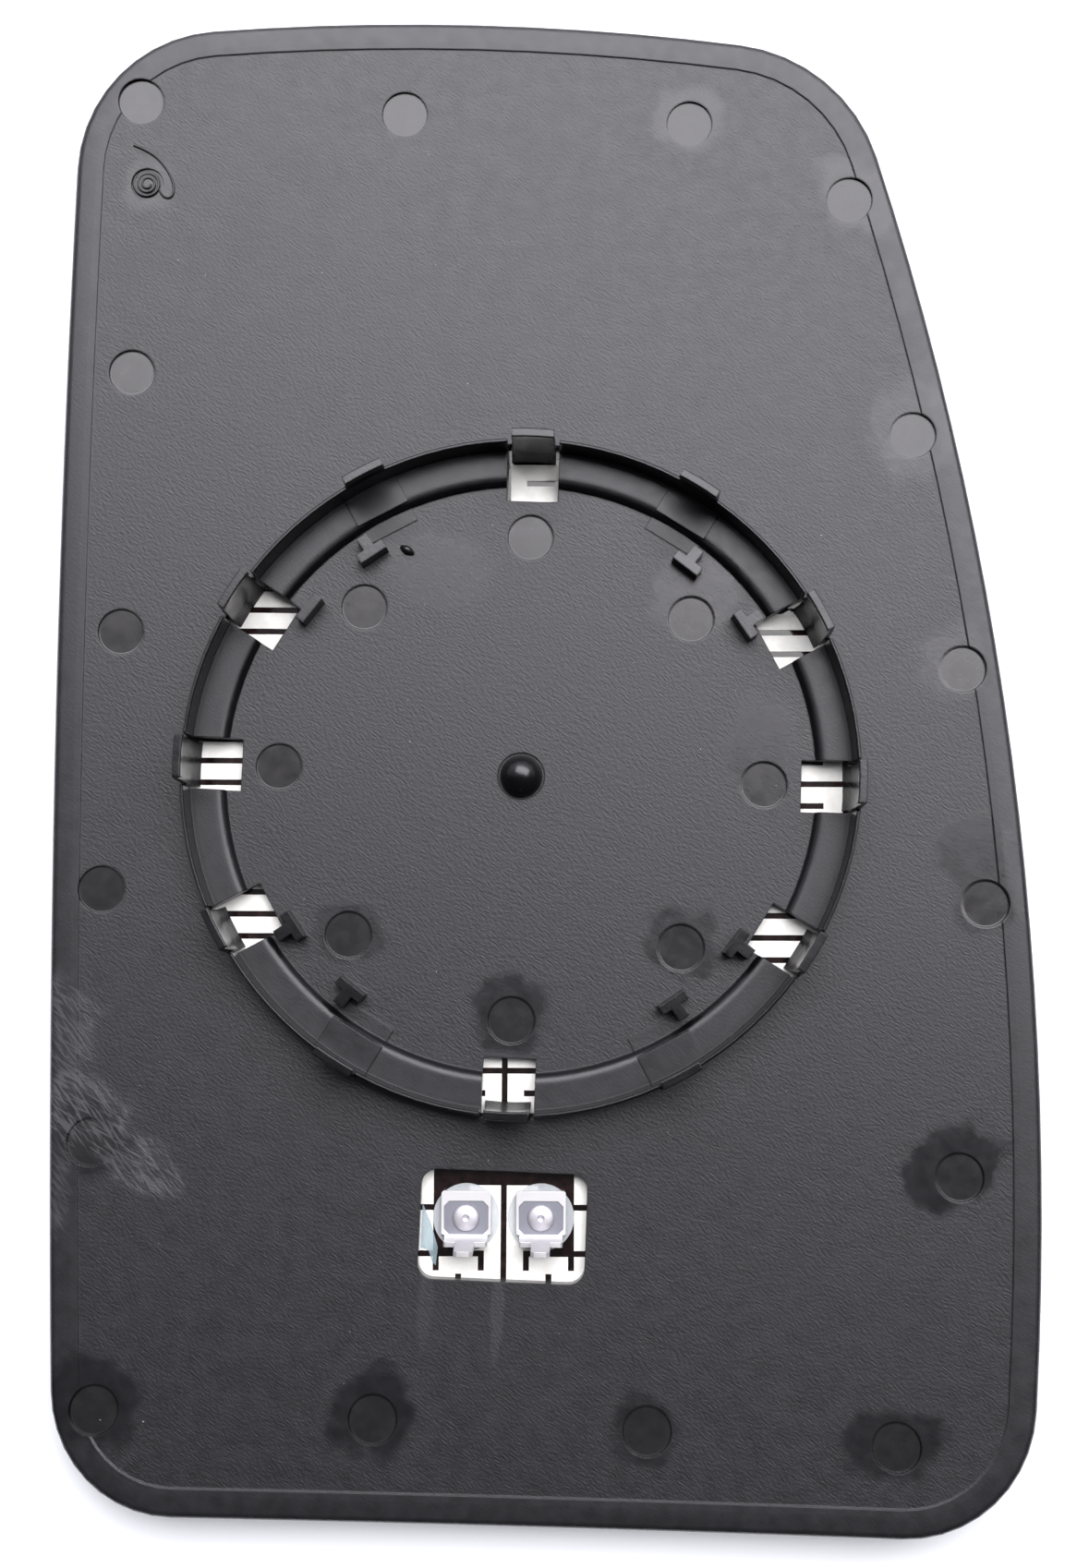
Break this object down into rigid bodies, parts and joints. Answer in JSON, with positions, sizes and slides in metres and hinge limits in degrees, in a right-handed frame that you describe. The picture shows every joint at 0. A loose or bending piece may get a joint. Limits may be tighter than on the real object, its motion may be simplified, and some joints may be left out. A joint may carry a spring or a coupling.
{
  "type": "car door mirror glass",
  "caption": "Heated convex door mirror glass bonded to a moulded backing plate with a round snap ring of inward hooks and two blade terminals.",
  "frame": {"origin": "on the snap ring's axis, in the plane of the ring's flat seat", "axes": "+Y along the glass's height, up as seen from the back; +X to the right as seen from the back; +Z out of the back, away from the reflecting face"},
  "size_m": [0.1542, 0.2303, 0.0171],
  "materials": {
    "mirror_coat": "polished glass with a bright reflecting coat",
    "adhesive_film": "black adhesive film, satin",
    "track_foil": "matt foil under a clear film",
    "grained_plastic": "black plastic, fine grain with smooth patches",
    "tinned_brass": "tin plated sheet, satin",
    "rivet_metal": "satin",
    "clear_disc": "clear plastic disc",
    "liner_film": "thin pale blue film"
  },
  "bodies": {
    "root": {"mirror_glass": "mirror_coat", "heater_film": "adhesive_film", "heater_track": "track_foil", "backing_plate": "grained_plastic", "terminal_left": "tinned_brass", "terminal_right": "tinned_brass", "rivet_left": "rivet_metal", "rivet_right": "rivet_metal", "seal_disc_left": "clear_disc", "seal_disc_right": "clear_disc", "film_scrap": "liner_film"}
  },
  "joints": []
}
